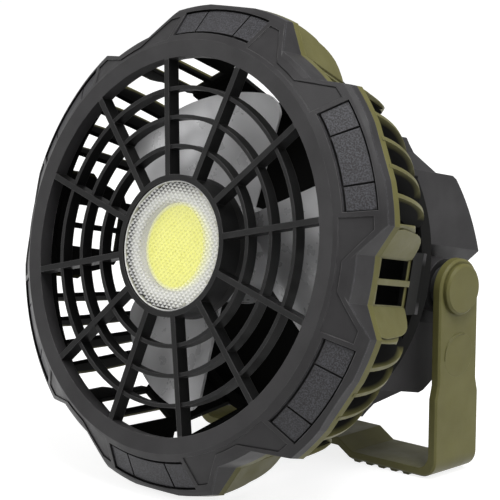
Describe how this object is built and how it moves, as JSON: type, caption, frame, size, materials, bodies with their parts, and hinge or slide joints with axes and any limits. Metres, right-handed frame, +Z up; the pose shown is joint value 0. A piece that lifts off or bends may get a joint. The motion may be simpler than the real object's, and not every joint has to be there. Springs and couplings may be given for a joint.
{
  "type": "portable camping fan",
  "caption": "Rechargeable camping fan: lobed round head with a lamp in the middle of its grille, louvred side cage, motor and battery housing, tilting in a U-shaped stand.",
  "frame": {"origin": "on the floor under the middle of the tilt axis, level with the stand's anti-slip treads", "axes": "+Z up; the fan blows towards -Y, leaning up at rest; +X is on the right of someone who faces the fan, along the tilt axis"},
  "size_m": [0.203, 0.1535, 0.2041],
  "materials": {
    "black_plastic": "fine grained matte black moulding",
    "housing_plastic": "satin black moulding",
    "olive_plastic": "satin olive green moulding",
    "cap_plastic": "satin olive green",
    "lens_plastic": "clear prismatic lens",
    "reflector_plastic": "bright metallised plastic",
    "board_white": "white coated board",
    "phosphor": "yellow light-giving layer",
    "cup_plastic": "matte black",
    "rotor_plastic": "silver grey semi-gloss plastic",
    "steel": "plain steel",
    "bronze": "sintered bronze",
    "motor_steel": "zinc plated steel",
    "mount_plastic": "matte black",
    "panel_plastic": "matte black moulding",
    "button_rubber": "soft black",
    "window_plastic": "smoked clear strip",
    "board_green": "circuit board",
    "cover_rubber": "soft black",
    "cell_wrap": "shrink wrap",
    "cradle_plastic": "plain moulding",
    "washer_rubber": "friction washer"
  },
  "bodies": {
    "stand": {"stand": "olive_plastic", "pivot_caps": "cap_plastic"},
    "head": {"front_grille": "black_plastic", "lamp_lens": "lens_plastic", "lamp_reflector": "reflector_plastic", "led_board": "board_white", "led_phosphor": "phosphor", "lamp_cup": "cup_plastic", "louvre_cage": "olive_plastic", "motor_bearings": "bronze", "motor_can": "motor_steel", "motor_mount": "mount_plastic", "rear_housing": "housing_plastic", "back_panel": "panel_plastic", "charge_window": "window_plastic", "control_board": "board_green", "usb_c_socket": "steel", "usb_a_socket": "steel", "battery_cells": "cell_wrap", "battery_cradle": "cradle_plastic", "pivot_bolts": "steel", "pivot_nuts": "steel", "pivot_washers": "washer_rubber"},
    "rotor": {"fan_rotor": "rotor_plastic", "motor_shaft": "steel"},
    "fan_button": {"fan_button": "button_rubber"},
    "light_button": {"light_button": "button_rubber"},
    "port_cover": {"port_cover": "cover_rubber"}
  },
  "joints": [
    {"name": "head_tilt", "type": "hinge", "parent": "stand", "child": "head", "pos_m": [0, 0, 0.08307], "axis": [-1, 0, 0], "range_deg": [0, 150]},
    {"name": "fan_spin", "type": "hinge", "parent": "head", "child": "rotor", "pos_m": [0, 0, 0.08307], "axis": [0, -0.9755, 0.2198], "continuous": true},
    {"name": "fan_button_press", "type": "slide", "parent": "head", "child": "fan_button", "axis": [0, -0.9755, 0.2198], "range_m": [0, 0.001], "stiffness_N_per_m": 400, "springref_m": -0.0008},
    {"name": "light_button_press", "type": "slide", "parent": "head", "child": "light_button", "axis": [0, -0.9755, 0.2198], "range_m": [0, 0.001], "stiffness_N_per_m": 400, "springref_m": -0.0008},
    {"name": "port_cover_hinge", "type": "hinge", "parent": "head", "child": "port_cover", "pos_m": [0, 0.02491, 0.06761], "axis": [-1, 0, 0], "range_deg": [0, 100], "stiffness_Nm_per_rad": 0.002, "springref_deg": -8.59}
  ]
}
